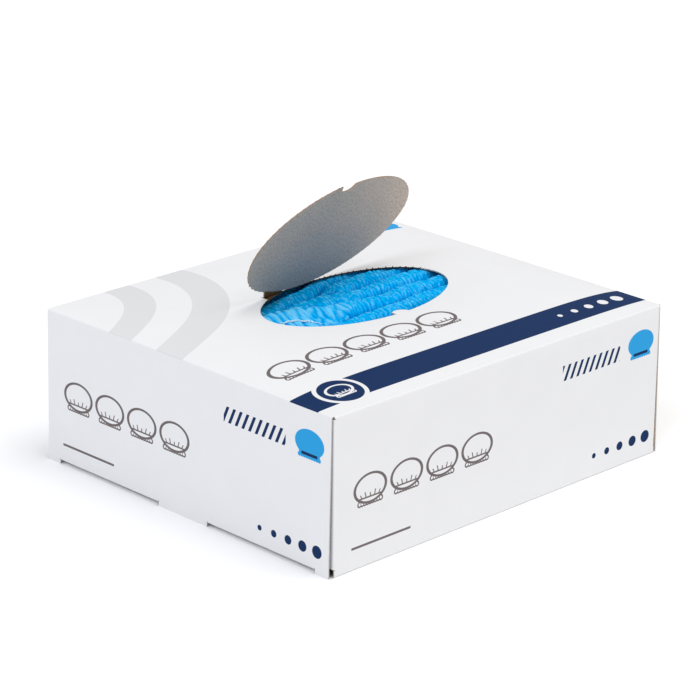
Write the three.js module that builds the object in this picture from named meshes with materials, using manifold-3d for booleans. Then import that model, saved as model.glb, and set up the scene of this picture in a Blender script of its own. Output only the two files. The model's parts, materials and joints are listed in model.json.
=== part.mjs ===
// Folded surgical caps in their dispenser carton, whose oval lid is torn open along
// its perforated line and stands up on its uncut bit of board.
// Millimetres, +Z up. The origin is on the ground under the middle of the carton.
// +X runs along the long front, which faces -Y.
import * as THREE from "three";
import { mergeVertices } from "three/addons/utils/BufferGeometryUtils.js";
import Module from "manifold-3d";

// ---- Carton ----
const LENGTH = 259.2; // between the folds that the outer end flaps hang from
const DEPTH = 231; // outside of the front panel to outside of the back panel
const HEIGHT = 90; // ground to the folds round the top panel
const BOARD = 0.7; // thickness of the paperboard
const GAP = 0.3; // kept between pieces that touch

// The packed caps push the top panel up. Each exponent sets how squarely the bulge
// fills the panel in that direction.
const BULGE = { rise: 6.5, squareX: 6.5, squareY: 2.1 };

// ---- Oval opening and its lid ----
const OVAL = { halfLength: 64.6, halfDepth: 36.85, segments: 36 };
const LID_GAP = 0.35; // width of the torn cut
const CUTTER = { low: HEIGHT - 10, high: HEIGHT + 20 }; // the cutting prisms reach past the board

// A half-moon of the top panel that sticks into the front of the oval, so that a
// finger finds the lid's edge. Its left side is a straight step.
const FINGER_TAB = { left: -4.6, leftTop: -33.0, crownX: 2.6, crownY: -30.4, right: 5.7, rightTop: -36.6, foot: -42 };

// The uncut bit of board between x = left and x = right that holds the lid. It
// bends on a line turned from +X by `turn` degrees, a little above the panel.
const HINGE = { x: -31, y: 34, lift: 1.4, turn: 5.1, left: -39.8, right: -26.2, foot: 20 };
const LID_OPEN_DEG = 63.3; // how far the lid stands open as stored

// ---- End closures ----
const PANEL_LENGTH = 256.6; // front and back panels, between the dust flaps' folds
const END_SPLAY = 1.6; // how far an outer end flap's foot springs out
const END_FLAP = { width: 228.8, tongueFrom: 20, tongueTo: 104, tongueRise: 2, tongueReach: 12 };
const INNER_FLAP = { width: 224, height: 50, inset: 0.3, slotFrom: 19, slotTo: 105, slotTop: 4.2 };
const DUST_FLAP = { depth: 55, low: 4.5, high: 88.5 };

// ---- Caps ----
const CAP_LENGTH = 248;
const CAP_ROW = { pitch: 14.3, top: 89.8, foot: 77.2 };
const CAP_END = { taper: 0.78, drop: 3, reach: 9 }; // the rounded ends of a folded cap
const CAP_LAYERS = 6; // whole layers under the top one
const LAYER = { low: 3, dip: 1.6 }; // the lowest clears the tongues; dip is the groove between caps
const FRONT_ROWS = { count: 6, nearestY: -36.3, pitch: 14.2, halfWidth: 6.8 };
const BACK_ROWS = { count: 4, nearestY: 54.6, pitch: 15.8, halfWidth: 7.6 };
const ROUND_SIDES = 12;

// The five caps under the opening, from front to back. Each row of a table is a
// section across the cap: where along the carton, its middle, its half width and
// its top. They press up under the board at the right. The second is spread out at
// its left, over its neighbour's end.
const SHOWN_CAPS = [
  {
    groove: 0.6,
    sections: [
      { x: -124, y: -15.6, half: 6.5, top: 90.0 },
      { x: -50, y: -15.0, half: 6.5, top: 89.6 },
      { x: -26.9, y: -16.7, half: 6.6, top: 91.4 },
      { x: -9.8, y: -18.9, half: 6.9, top: 93.1 },
      { x: 7.7, y: -21.1, half: 7.0, top: 94.3 },
      { x: 32.7, y: -19.4, half: 6.9, top: 94.3 },
      { x: 124, y: -19.5, half: 6.9, top: 90.0 },
    ],
  },
  {
    groove: 0.5,
    sections: [
      { x: -124, y: 8.0, half: 14.0, top: 90.0 },
      { x: -50, y: 9.6, half: 13.0, top: 92.3 },
      { x: -38, y: 9.0, half: 13.0, top: 92.4 },
      { x: -30, y: 7.2, half: 12.9, top: 92.6 },
      { x: -21, y: 2.2, half: 10.6, top: 93.1 },
      { x: -11.5, y: -1.7, half: 8.6, top: 93.8 },
      { x: 7.7, y: -6.2, half: 7.2, top: 94.6 },
      { x: 32.7, y: -5.1, half: 7.2, top: 94.8 },
      { x: 124, y: -5.2, half: 6.9, top: 90.0 },
    ],
  },
  {
    groove: 0.8,
    sections: [
      { x: -35.5, y: 23.6, half: 1.4, top: 89.2 },
      { x: -30, y: 23.8, half: 2.8, top: 91.2 },
      { x: -21, y: 20.7, half: 6.8, top: 91.9 },
      { x: -11.5, y: 17.9, half: 9.9, top: 92.4 },
      { x: -5.5, y: 17.5, half: 10.6, top: 92.9 },
      { x: 0, y: 13.8, half: 9.7, top: 93.4 },
      { x: 7.7, y: 9.3, half: 6.9, top: 94.0 },
      { x: 32.7, y: 9.8, half: 7.1, top: 94.1 },
      { x: 124, y: 9.1, half: 6.9, top: 89.8 },
    ],
  },
  {
    groove: 1.2,
    sections: [
      { x: -2.5, y: 27.6, half: 1.5, top: 91.2 },
      { x: 1.5, y: 26.7, half: 3.0, top: 92.8 },
      { x: 7.7, y: 24.0, half: 7.1, top: 94.0 },
      { x: 32.7, y: 24.7, half: 7.1, top: 94.0 },
      { x: 124, y: 23.4, half: 6.9, top: 89.8 },
    ],
  },
  {
    groove: 0.5,
    sections: [
      { x: -124, y: 31.4, half: 8.3, top: 89.6 },
      { x: -50, y: 32.2, half: 8.9, top: 90.3 },
      { x: -38, y: 33.2, half: 8.4, top: 90.5 },
      { x: -26.9, y: 34.6, half: 6.6, top: 91.1 },
      { x: -9.8, y: 35.4, half: 6.6, top: 92.0 },
      { x: 7.7, y: 37.9, half: 6.3, top: 93.2 },
      { x: 32.7, y: 38.4, half: 6.2, top: 93.4 },
      { x: 124, y: 37.6, half: 6.9, top: 89.8 },
    ],
  },
];

// ---- Materials ----
const coatedBoard = new THREE.MeshStandardMaterial({ color: 0xf0eff0, roughness: 0.55, metalness: 0 });
const capCloth = new THREE.MeshStandardMaterial({ color: 0x22a5e0, roughness: 0.85, metalness: 0 });

const wasm = await Module();
wasm.setup();

const { degToRad, smoothstep, lerp } = THREE.MathUtils;

// Turns a shape drawn across (x) and up (y) into one drawn along +Y and up +Z, and
// its extrusion into one along +X.
const STAND_UP = new THREE.Quaternion().setFromAxisAngle(new THREE.Vector3(1, 1, 1).normalize(), (2 * Math.PI) / 3);

function solidOf(geometry) {
  const bare = geometry.clone();
  bare.deleteAttribute("normal");
  bare.deleteAttribute("uv");
  const merged = mergeVertices(bare);
  const triVerts = new Uint32Array(merged.index.array);
  return new wasm.Manifold(new wasm.Mesh({ numProp: 3, vertProperties: merged.attributes.position.array, triVerts }));
}

function geometryOf(solid) {
  const { vertProperties, triVerts } = solid.getMesh();
  const geometry = new THREE.BufferGeometry();
  geometry.setAttribute("position", new THREE.BufferAttribute(vertProperties, 3));
  geometry.setIndex(new THREE.BufferAttribute(triVerts, 1));
  geometry.computeVertexNormals();
  return geometry;
}

function named(name, geometry, material) {
  const mesh = new THREE.Mesh(geometry, material);
  mesh.name = name;
  return mesh;
}

// Height of the top panel's outside face.
function topFace(x, y) {
  const alongX = 1 - Math.abs((2 * x) / LENGTH) ** BULGE.squareX;
  const alongY = 1 - Math.abs((2 * y) / DEPTH) ** BULGE.squareY;
  return HEIGHT + BULGE.rise * Math.max(alongX, 0) * Math.max(alongY, 0);
}

// The whole top panel before its opening is cut. Its grid is closer towards the
// ends, where the bulge falls away.
function bulgedSheet() {
  const sheet = new THREE.BoxGeometry(2, DEPTH, BOARD, 20, 14, 1);
  const at = sheet.attributes.position;
  const halfLength = LENGTH / 2 - BOARD - GAP;
  for (let i = 0; i < at.count; i++) {
    const x = halfLength * Math.sin((at.getX(i) * Math.PI) / 2);
    const y = at.getY(i);
    at.setXYZ(i, x, y, topFace(x, y) + at.getZ(i) - BOARD / 2);
  }
  return solidOf(sheet);
}

function cutter(outline) {
  const prism = new THREE.ExtrudeGeometry(outline, {
    depth: CUTTER.high - CUTTER.low,
    bevelEnabled: false,
    curveSegments: OVAL.segments,
  });
  return solidOf(prism.translate(0, 0, CUTTER.low));
}

function ovalCutter(inset) {
  const outline = new THREE.Shape();
  outline.absellipse(0, 0, OVAL.halfLength - inset, OVAL.halfDepth - inset, 0, 2 * Math.PI, false, 0);
  return cutter(outline);
}

function fingerTabCutter(grow) {
  const outline = new THREE.Shape();
  outline.moveTo(FINGER_TAB.left - grow, FINGER_TAB.foot);
  outline.lineTo(FINGER_TAB.right + grow, FINGER_TAB.foot);
  outline.lineTo(FINGER_TAB.right + grow, FINGER_TAB.rightTop + grow);
  outline.quadraticCurveTo(
    FINGER_TAB.crownX,
    FINGER_TAB.crownY + grow,
    FINGER_TAB.left - grow,
    FINGER_TAB.leftTop + grow,
  );
  return cutter(outline);
}

// The bit of board that joins the lid to the panel, up to the line that it bends on.
function hingeCutter(grow) {
  const bendAt = (x) => HINGE.y + Math.tan(degToRad(HINGE.turn)) * (x - HINGE.x) - GAP + grow;
  const left = HINGE.left - grow;
  const right = HINGE.right + grow;
  const outline = new THREE.Shape();
  outline.moveTo(left, HINGE.foot);
  outline.lineTo(right, HINGE.foot);
  outline.lineTo(right, bendAt(right));
  outline.lineTo(left, bendAt(left));
  return cutter(outline);
}

function topPanel() {
  const opening = ovalCutter(0).add(hingeCutter(LID_GAP)).subtract(fingerTabCutter(0));
  return named("top_panel", geometryOf(bulgedSheet().subtract(opening)), coatedBoard);
}

// The lid is the piece that the oval cut frees, turned up about its bend line.
function openLid() {
  const outline = ovalCutter(LID_GAP).add(hingeCutter(0)).subtract(fingerTabCutter(LID_GAP));
  const bend = new THREE.Vector3(HINGE.x, HINGE.y, topFace(HINGE.x, HINGE.y) + HINGE.lift);
  const turn = degToRad(HINGE.turn);
  const opens = new THREE.Vector3(-Math.cos(turn), -Math.sin(turn), 0);
  const lid = named("lid", geometryOf(bulgedSheet().intersect(outline)), coatedBoard);
  lid.position.copy(bend).negate();
  const pivot = new THREE.Group();
  pivot.position.copy(bend);
  pivot.quaternion.setFromAxisAngle(opens, degToRad(LID_OPEN_DEG));
  pivot.add(lid);
  return pivot;
}

function boardPanel(name, [x0, x1], [y0, y1], [z0, z1]) {
  const panel = named(name, new THREE.BoxGeometry(x1 - x0, y1 - y0, z1 - z0), coatedBoard);
  panel.position.set((x0 + x1) / 2, (y0 + y1) / 2, (z0 + z1) / 2);
  return panel;
}

// The front, back and bottom of the carton's tube.
function tubePanels() {
  const group = new THREE.Group();
  const alongX = [-PANEL_LENGTH / 2, PANEL_LENGTH / 2];
  const wallHeight = [0, HEIGHT - BOARD - GAP];
  const outside = DEPTH / 2;
  const inside = DEPTH / 2 - BOARD - GAP;
  const bottomEnd = PANEL_LENGTH / 2 + GAP + BOARD;
  group.add(boardPanel("front_panel", alongX, [-outside, -outside + BOARD], wallHeight));
  group.add(boardPanel("back_panel", alongX, [outside - BOARD, outside], wallHeight));
  group.add(boardPanel("bottom_panel", [-bottomEnd, bottomEnd], [-inside, inside], [0, BOARD]));
  return group;
}

// Drawn down from its fold, the flap's foot has three bits that reach the ground,
// and two tongues between them that are tucked in over the bottom panel.
function outerFlapGeometry() {
  const { width, tongueFrom, tongueTo, tongueRise, tongueReach } = END_FLAP;
  const edge = width / 2;
  const foot = -HEIGHT;
  const fold = -HEIGHT + tongueRise;
  const outline = new THREE.Shape();
  outline.moveTo(-edge, 0);
  outline.lineTo(-edge, foot);
  outline.lineTo(-tongueTo, foot);
  outline.lineTo(-tongueTo, fold);
  outline.lineTo(-tongueFrom, fold);
  outline.lineTo(-tongueFrom, foot);
  outline.lineTo(tongueFrom, foot);
  outline.lineTo(tongueFrom, fold);
  outline.lineTo(tongueTo, fold);
  outline.lineTo(tongueTo, foot);
  outline.lineTo(edge, foot);
  outline.lineTo(edge, 0);
  const plate = new THREE.ExtrudeGeometry(outline, { depth: BOARD, bevelEnabled: false });
  let flap = solidOf(plate.applyQuaternion(STAND_UP));
  for (const side of [-1, 1]) {
    const tongue = new THREE.BoxGeometry(tongueReach, tongueTo - tongueFrom - 2 * GAP, BOARD);
    tongue.translate(tongueReach / 2, (side * (tongueTo + tongueFrom)) / 2, fold + BOARD / 2);
    flap = flap.add(solidOf(tongue));
  }
  return geometryOf(flap);
}

// The flap hinged to the bottom panel, with the two slots that the tongues go through.
function innerFlapGeometry() {
  const { width, height, slotFrom, slotTo, slotTop } = INNER_FLAP;
  const edge = width / 2;
  const low = BOARD + GAP;
  const outline = new THREE.Shape();
  outline.moveTo(-edge, low);
  outline.lineTo(-slotTo, low);
  outline.lineTo(-slotTo, slotTop);
  outline.lineTo(-slotFrom, slotTop);
  outline.lineTo(-slotFrom, low);
  outline.lineTo(slotFrom, low);
  outline.lineTo(slotFrom, slotTop);
  outline.lineTo(slotTo, slotTop);
  outline.lineTo(slotTo, low);
  outline.lineTo(edge, low);
  outline.lineTo(edge, height);
  outline.lineTo(-edge, height);
  const plate = new THREE.ExtrudeGeometry(outline, { depth: BOARD, bevelEnabled: false });
  return plate.applyQuaternion(STAND_UP);
}

// One closed end, drawn as the left one. The right one is the same, turned half round.
function endClosure(side) {
  const group = new THREE.Group();
  const outer = named(`${side}_end_flap`, outerFlapGeometry(), coatedBoard);
  outer.position.set(-LENGTH / 2, 0, HEIGHT);
  outer.rotation.y = Math.asin(END_SPLAY / HEIGHT);
  const inner = named(`${side}_inner_flap`, innerFlapGeometry(), coatedBoard);
  inner.position.x = -PANEL_LENGTH / 2 - INNER_FLAP.inset - BOARD;
  group.add(outer, inner);
  const dustX = [-PANEL_LENGTH / 2, -PANEL_LENGTH / 2 + BOARD];
  const dustZ = [DUST_FLAP.low, DUST_FLAP.high];
  const wall = DEPTH / 2 - BOARD - GAP;
  group.add(boardPanel(`${side}_dust_flap_a`, dustX, [-wall, -wall + DUST_FLAP.depth], dustZ));
  group.add(boardPanel(`${side}_dust_flap_b`, dustX, [wall - DUST_FLAP.depth, wall], dustZ));
  if (side === "right") group.rotation.z = Math.PI;
  return group;
}

// A value between a cap's sections, easing from each one to the next.
function eased(sections, x, column) {
  const after = sections.findIndex((section) => section.x >= x);
  const b = sections[after === -1 ? sections.length - 1 : after];
  const a = sections[Math.max((after === -1 ? sections.length : after) - 1, 0)];
  return a === b ? a[column] : lerp(a[column], b[column], smoothstep(x, a.x, b.x));
}

// A cap is pleated into a strip and folded in half, so its two legs lie side by
// side with a groove between them. The ends are rounded.
function foldedCap(name, sections, groove, steps) {
  const left = sections[0].x;
  const right = sections[sections.length - 1].x;
  const roll = new THREE.CylinderGeometry(1, 1, 1, ROUND_SIDES, steps);
  const at = roll.attributes.position;
  for (let i = 0; i < at.count; i++) {
    const x = lerp(left, right, at.getY(i) + 0.5);
    const fromEnd = Math.min(x - left, right - x);
    const full = smoothstep(fromEnd, 0, CAP_END.reach);
    const half = eased(sections, x, "half") * lerp(CAP_END.taper, 1, full);
    const top = eased(sections, x, "top") - CAP_END.drop * (1 - full);
    const across = -Math.sign(at.getX(i)) * Math.abs(at.getX(i)) ** 0.8;
    const up = Math.sign(at.getZ(i)) * Math.abs(at.getZ(i)) ** 0.55;
    const middle = (top + CAP_ROW.foot) / 2;
    const sunk = up > 0 ? groove * Math.max(1 - Math.abs(across) * 2.5, 0) : 0;
    at.setXYZ(i, x, eased(sections, x, "y") + half * across, middle + (top - middle) * up - sunk);
  }
  return named(name, roll, capCloth);
}

// The caps of the top layer, numbered from the front to the back.
function topLayer() {
  const group = new THREE.Group();
  const plainRow = (y, half) => {
    const { top } = CAP_ROW;
    return { groove: 0.8, sections: [-CAP_LENGTH / 2, CAP_LENGTH / 2].map((x) => ({ x, y, half, top })), steps: 8 };
  };
  const rows = SHOWN_CAPS.map((cap) => ({ ...cap, steps: 48 }));
  for (let i = 0; i < FRONT_ROWS.count; i++) {
    rows.unshift(plainRow(FRONT_ROWS.nearestY - i * FRONT_ROWS.pitch, FRONT_ROWS.halfWidth));
  }
  for (let i = 0; i < BACK_ROWS.count; i++) {
    rows.push(plainRow(BACK_ROWS.nearestY + i * BACK_ROWS.pitch, BACK_ROWS.halfWidth));
  }
  rows.forEach(({ sections, groove, steps }, i) => {
    group.add(foldedCap(`cap_${String(i + 1).padStart(2, "0")}`, sections, groove, steps));
  });
  return group;
}

// A layer under the top one is a joined row of the same folded caps.
function lowerLayer(index) {
  const { pitch } = CAP_ROW;
  const count = FRONT_ROWS.count + SHOWN_CAPS.length + BACK_ROWS.count;
  const rise = (CAP_ROW.foot - LAYER.low) / CAP_LAYERS;
  const low = LAYER.low + index * rise;
  const high = low + rise - GAP;
  const start = (-count * pitch) / 2;
  const outline = new THREE.Shape();
  outline.moveTo(start, low + LAYER.dip);
  for (let i = 0; i < count; i++) {
    const from = start + i * pitch;
    outline.quadraticCurveTo(from + pitch / 2, low - LAYER.dip, from + pitch, low + LAYER.dip);
  }
  outline.lineTo(-start, high - LAYER.dip);
  for (let i = count; i > 0; i--) {
    const from = start + i * pitch;
    outline.quadraticCurveTo(from - pitch / 2, high + LAYER.dip, from - pitch, high - LAYER.dip);
  }
  const slab = new THREE.ExtrudeGeometry(outline, { depth: CAP_LENGTH, bevelEnabled: false, curveSegments: 4 });
  slab.applyQuaternion(STAND_UP).translate(-CAP_LENGTH / 2, 0, 0);
  return named(`caps_layer_${CAP_LAYERS + 1 - index}`, slab, capCloth);
}

const capsInCarton = new THREE.Group();
capsInCarton.add(tubePanels(), topPanel(), openLid(), endClosure("left"), endClosure("right"), topLayer());
for (let index = 0; index < CAP_LAYERS; index++) capsInCarton.add(lowerLayer(index));

export default capsInCarton;
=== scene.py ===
import json
import math
import bpy
import numpy as np
from mathutils import Matrix, Vector
from mathutils.bvhtree import BVHTree
from mathutils.geometry import delaunay_2d_cdt


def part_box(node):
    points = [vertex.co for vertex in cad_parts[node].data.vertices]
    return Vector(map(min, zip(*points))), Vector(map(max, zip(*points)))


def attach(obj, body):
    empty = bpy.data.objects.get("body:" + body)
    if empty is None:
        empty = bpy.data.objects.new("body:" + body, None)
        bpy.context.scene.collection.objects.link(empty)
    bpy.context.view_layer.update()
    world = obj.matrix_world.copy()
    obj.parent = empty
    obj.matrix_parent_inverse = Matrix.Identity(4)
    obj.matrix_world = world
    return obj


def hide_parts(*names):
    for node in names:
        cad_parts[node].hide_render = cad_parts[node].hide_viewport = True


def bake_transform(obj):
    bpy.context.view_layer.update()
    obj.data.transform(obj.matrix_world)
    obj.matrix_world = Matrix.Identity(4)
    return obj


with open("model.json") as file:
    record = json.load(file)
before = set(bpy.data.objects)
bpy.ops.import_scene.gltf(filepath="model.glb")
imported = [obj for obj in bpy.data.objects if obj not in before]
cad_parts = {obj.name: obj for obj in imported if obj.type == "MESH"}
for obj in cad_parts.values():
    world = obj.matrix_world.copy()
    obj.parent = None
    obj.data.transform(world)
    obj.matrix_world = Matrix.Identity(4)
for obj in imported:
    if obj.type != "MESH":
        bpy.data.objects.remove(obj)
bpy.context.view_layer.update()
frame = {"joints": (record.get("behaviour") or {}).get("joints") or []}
MM = 0.001

# ------------------------ Camera
# A long lens looks down on the carton's near left corner, a little turned, with
# the carton's middle just under the middle of the view.
VIEW_AZIMUTH, VIEW_ELEVATION, VIEW_ROLL = -44.63, 20.04, 0.59
VIEW_DISTANCE = 1.7198
VIEW_RAISE, VIEW_SIDE = 0.0177, -0.0027
LENS, SENSOR = 155.67, 36.0

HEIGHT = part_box("front_panel")[1].z + 1.0 * MM


def direction(azimuth, elevation):
    """Towards a place that many degrees round from the front and up from level."""
    azimuth, elevation = math.radians(azimuth), math.radians(elevation)
    return Vector((math.sin(azimuth), -math.cos(azimuth), math.tan(elevation))).normalized()


back = direction(VIEW_AZIMUTH, VIEW_ELEVATION)
level = direction(VIEW_AZIMUTH + 90, 0)
turned = Matrix.Rotation(math.radians(VIEW_ROLL), 3, back)
right, up = turned @ level, turned @ back.cross(level)
camera = bpy.data.objects.new("camera", bpy.data.cameras.new("camera"))
camera.data.lens, camera.data.sensor_width = LENS, SENSOR
camera.data.clip_end = 20
stand_at = Vector((0, 0, HEIGHT / 2)) + back * VIEW_DISTANCE + up * VIEW_RAISE + right * VIEW_SIDE
pose = Matrix((right, up, back)).transposed().to_4x4()
pose.translation = stand_at
camera.matrix_world = pose
bpy.context.scene.collection.objects.link(camera)
bpy.context.scene.camera = camera

# ------------------------ Studio
# A wide white sweep under an even white sky, lit through two very wide soft screens:
# a warm one high on the front right and a weaker cool one on the left.
SKY_STRENGTH = 0.59
SCREENS = [
    {"name": "right_screen", "azimuth": 32, "elevation": 66, "softness": 45,
     "strength": 1.28, "tint": (1.0, 0.97, 0.93)},
    {"name": "left_screen", "azimuth": -72, "elevation": 45, "softness": 30,
     "strength": 0.90, "tint": (0.78, 0.85, 1.0)},
]
SCREEN_STAND, FLOOR_HALF, FLOOR_WHITE = 3.0, 5.0, (0.97, 0.97, 0.97, 1)


def shown_mesh(name, points, faces):
    mesh = bpy.data.meshes.new(name)
    mesh.from_pydata([tuple(p) for p in points], [], [tuple(int(i) for i in f) for f in faces])
    mesh.update()
    made = bpy.data.objects.new(name, mesh)
    bpy.context.scene.collection.objects.link(made)
    return made


def feed(socket, value):
    """Gives an input its value, or a link where the value is another node's output."""
    if isinstance(value, bpy.types.NodeSocket):
        socket.id_data.links.new(value, socket)
    else:
        socket.default_value = value


def feed_all(node, **inputs):
    """Feeds the named inputs of a node, with an underline for each blank in a name."""
    for name, value in inputs.items():
        feed(node.inputs[name.replace("_", " ")], value)
    return node


def new_material(name, **inputs):
    material = bpy.data.materials.new(name)
    material.use_nodes = True
    shader = feed_all(material.node_tree.nodes["Principled BSDF"], **inputs)
    return material, material.node_tree, shader


floor_corners = [(x * FLOOR_HALF, y * FLOOR_HALF, 0) for x, y in ((-1, -1), (1, -1), (1, 1), (-1, 1))]
floor = shown_mesh("studio_floor", floor_corners, [(0, 1, 2, 3)])
floor_paint = new_material("studio_white", Roughness=0.9, Specular_IOR_Level=0.0, Base_Color=FLOOR_WHITE)[0]
floor.data.materials.append(floor_paint)

world = bpy.data.worlds.new("studio_sky")
world.use_nodes = True
feed_all(world.node_tree.nodes["Background"], Strength=SKY_STRENGTH, Color=(1, 1, 1, 1))
bpy.context.scene.world = world
bpy.context.scene.view_settings.view_transform = "Standard"

for screen in SCREENS:
    light = bpy.data.lights.new(screen["name"], "SUN")
    light.energy = screen["strength"]
    light.angle = math.radians(screen["softness"])
    light.color = screen["tint"]
    towards = direction(screen["azimuth"], screen["elevation"])
    holder = bpy.data.objects.new(screen["name"], light)
    holder.location = towards * SCREEN_STAND
    holder.rotation_euler = towards.to_track_quat("Z", "Y").to_euler()
    bpy.context.scene.collection.objects.link(holder)

# ------------------------ Printed carton board
# The carton is one die-cut blank of grey recycled board, clay-coated white on the
# outside and printed. The print is laid out on the flat blank in millimetres: x along the
# carton, y up over the front and the top, and the end flaps at the left and right.
BOARD = 0.7 * MM
LENGTH = 259.2 * MM
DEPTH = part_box("back_panel")[1].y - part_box("front_panel")[0].y
WHITE = (0.80, 0.80, 0.805, 1)
NAVY = (0.011, 0.032, 0.103, 1)
WARM_GREY = (0.165, 0.14, 0.14, 1)
PALE_GREY = (0.69, 0.69, 0.695, 1)
SKY_BLUE = (0.03, 0.34, 0.70, 1)
INK_EDGE = 0.12


def calc(operation, *values):
    """One step of arithmetic on sockets and numbers, in the first socket's own node tree."""
    tree = next(value for value in values if isinstance(value, bpy.types.NodeSocket)).id_data
    node = tree.nodes.new("ShaderNodeMath")
    node.operation = operation
    for socket, value in zip(node.inputs, values):
        feed(socket, value)
    return node.outputs[0]


def blend_colour(share, under, over):
    node = share.id_data.nodes.new("ShaderNodeMix")
    node.data_type = "RGBA"
    return feed_all(node, Factor=share, A=under, B=over).outputs["Result"]


def disc(at, x, y, radius):
    """Distance outside a disc of a place on the flat sheet, in millimetres."""
    du, dv = calc("SUBTRACT", at[0], x), calc("SUBTRACT", at[1], y)
    square = calc("MULTIPLY_ADD", dv, dv, calc("MULTIPLY", du, du))
    return calc("SUBTRACT", calc("SQRT", square), radius)


def bar(at, x0, y0, x1, y1):
    """Distance outside a rectangle, in millimetres."""
    from_middle = calc("ABSOLUTE", calc("SUBTRACT", at[0], (x0 + x1) / 2))
    across = calc("SUBTRACT", from_middle, (x1 - x0) / 2)
    from_middle = calc("ABSOLUTE", calc("SUBTRACT", at[1], (y0 + y1) / 2))
    along = calc("SUBTRACT", from_middle, (y1 - y0) / 2)
    return calc("MAXIMUM", across, along)


def puffed_crown(at, x, y, size):
    """Distance outside the crown of a small drawing of a bouffant cap: a wide low puff."""
    narrow = calc("MULTIPLY", calc("SUBTRACT", at[0], x), 0.7)
    return disc((narrow, at[1]), 0, y + 0.06 * size, 0.32 * size)


def frilled_hem(at, x, y, size):
    """Distance outside the gathered hem under the crown, with its frill."""
    hem = bar(at, x - 0.33 * size, y - 0.25 * size, x + 0.33 * size, y - 0.14 * size)
    for i in range(-4, 5):
        frill = disc(at, x + i * 0.078 * size, y - 0.255 * size, 0.05 * size)
        hem = calc("MINIMUM", hem, frill)
    return hem


def cap_mark(at, x, y, size):
    """Distance outside the whole drawing, filled in."""
    return calc("MINIMUM", puffed_crown(at, x, y, size), frilled_hem(at, x, y, size))


def outlined(distance, stroke):
    return calc("SUBTRACT", calc("ABSOLUTE", distance), stroke / 2)


def cap_lines(at, x, y, size, stroke):
    """Distance outside the lines of the drawing: its crown, its hem and a fan of gathers."""
    crown = outlined(puffed_crown(at, x, y, size), stroke)
    lines = calc("MINIMUM", crown, outlined(frilled_hem(at, x, y, size), stroke * 0.7))
    for i in range(-2, 3):
        slanted = calc("MULTIPLY_ADD", at[1], -0.25 * i, at[0])
        middle, half = x + i * 0.125 * size - 0.25 * i * (y - 0.13 * size), stroke * 0.3
        gather_top = y - (0.01 if i % 2 else 0.05) * size
        gather = bar((slanted, at[1]), middle - half, y - 0.13 * size, middle + half, gather_top)
        lines = calc("MINIMUM", lines, gather)
    return lines


def ramp(value, rate, start):
    """The value times rate plus start, kept between 0 and 1."""
    share = calc("MULTIPLY_ADD", value, rate, start)
    share.node.use_clamp = True
    return share


def ink(distance):
    """1 where the ink is and 0 outside it, with a soft edge."""
    return ramp(distance, -1 / INK_EDGE, 0.5)


def stamp(colour, distance, tint):
    """Prints one shape in one ink over what is there."""
    return blend_colour(ink(distance), colour, tint)


def repeated(u, first, pitch):
    """How far along u a place is from the middle of its repeat."""
    return calc("SUBTRACT", calc("MODULO", calc("SUBTRACT", u, first), pitch), pitch / 2)


def cap_row(at, colour, first, y, count, pitch, size, stroke):
    """A row of caps in outline."""
    caps = cap_lines((repeated(at[0], first, pitch), at[1]), 0, y, size, stroke)
    window = bar(at, first, y - size, first + count * pitch, y + size)
    return stamp(colour, calc("MAXIMUM", caps, window), WARM_GREY)


def dot_row(at, colour, tint, last, y, pitch, radius, shrink):
    """Five dots in a row, each smaller than the one to its right."""
    for i in range(5):
        dot = disc(at, last - pitch * i, y, radius - shrink * i)
        colour = stamp(colour, dot, tint)
    return colour


def side_print(at, colour, width, top_line):
    """One side, below its top fold at v = top_line: caps, slanted bars, a filled cap, a rule and dots."""
    left, right = -width / 2, width / 2
    colour = cap_row(at, colour, left + 14, top_line - 47, 4, 27, 25, 1.3)
    mark_x, mark_y = right - 17, top_line - 20
    colour = stamp(colour, cap_mark(at, mark_x, mark_y, 24), SKY_BLUE)
    brim = bar(at, mark_x - 6, mark_y - 5.6, mark_x + 6, mark_y - 3.9)
    colour = stamp(colour, brim, NAVY)
    across = repeated(calc("MULTIPLY_ADD", at[1], -0.45, at[0]), 0, 5.2)
    pleat = calc("SUBTRACT", calc("ABSOLUTE", across), 1.1)
    patch = bar(at, mark_x - 66, mark_y - 5, mark_x - 18, mark_y + 4)
    colour = stamp(colour, calc("MAXIMUM", pleat, patch), NAVY)
    low_line = top_line - 77
    colour = dot_row(at, colour, NAVY, right - 10, low_line, 11, 3.6, 0.5)
    rule = bar(at, left + 14, low_line - 0.7, left + 58, low_line + 0.7)
    return stamp(colour, rule, WARM_GREY)


STRIPE = {"low": -104.2, "high": -82.9}
BADGE = {"x": -102.8, "y": -93.3, "disc": 12.7, "ring": 15.2}
HALO = {"x": -150, "y": 120, "inner": (62, 80), "outer": (100, 121)}


def top_print(at, colour):
    """The top: two pale rings from its far left, a row of caps, and a navy stripe with a badge."""
    for inside, outside in (HALO["inner"], HALO["outer"]):
        middle = disc(at, HALO["x"], HALO["y"], (inside + outside) / 2)
        colour = stamp(colour, outlined(middle, outside - inside), PALE_GREY)
    colour = cap_row(at, colour, -118, -57, 5, 28, 27, 1.6)
    stripe = bar(at, -LENGTH / MM, STRIPE["low"], LENGTH / MM, STRIPE["high"])
    colour = stamp(colour, stripe, NAVY)
    for radius, tint in ((BADGE["ring"], WHITE), (BADGE["disc"], NAVY)):
        colour = stamp(colour, disc(at, BADGE["x"], BADGE["y"], radius), tint)
    emblem = cap_lines(at, BADGE["x"], BADGE["y"], 18, 1.2)
    colour = stamp(colour, emblem, WHITE)
    colour = dot_row(at, colour, WHITE, 116, BADGE["y"], 12, 3.8, 0.55)
    return stamp(colour, cap_mark(at, 112, 89, 24), SKY_BLUE)


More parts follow.
